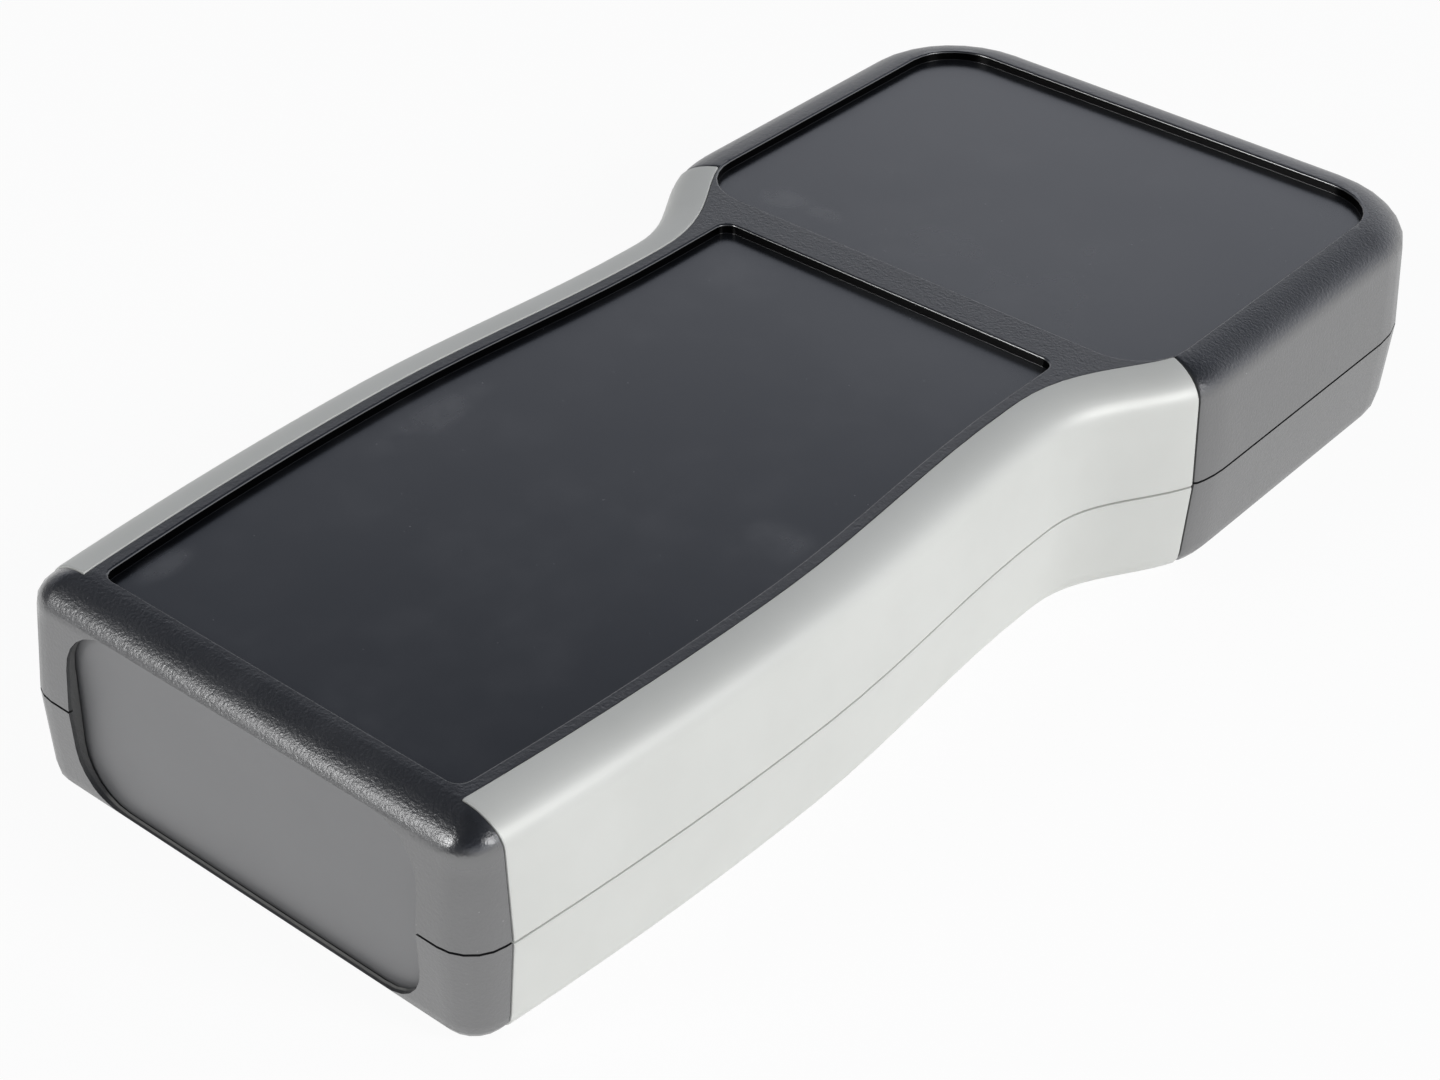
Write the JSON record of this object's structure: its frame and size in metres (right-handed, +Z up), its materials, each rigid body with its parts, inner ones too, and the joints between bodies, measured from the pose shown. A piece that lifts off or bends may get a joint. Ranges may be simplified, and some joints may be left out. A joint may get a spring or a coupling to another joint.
{
  "type": "handheld instrument case",
  "caption": "Empty handheld plastic case with a wide head, bulged grip, two shallow top recesses, light side inlays and a captured end panel.",
  "frame": {"origin": "middle of the flat underside, at the centre of the overall box", "axes": "+Y along the case from the grip end to the head, +X to the right seen from above with the head away, +Z up through the recessed top"},
  "size_m": [0.1, 0.21, 0.0332],
  "materials": {
    "black_plastic": "fine moulded texture, satin",
    "silver_plastic": "smooth satin",
    "grey_plastic": "fine matte",
    "screw_steel": "zinc plated"
  },
  "bodies": {
    "root": {"upper_shell": "black_plastic", "lower_shell": "black_plastic", "upper_left_inlay": "silver_plastic", "upper_right_inlay": "silver_plastic", "lower_left_inlay": "silver_plastic", "lower_right_inlay": "silver_plastic", "end_panel": "grey_plastic", "case_screws": "screw_steel"}
  },
  "joints": []
}
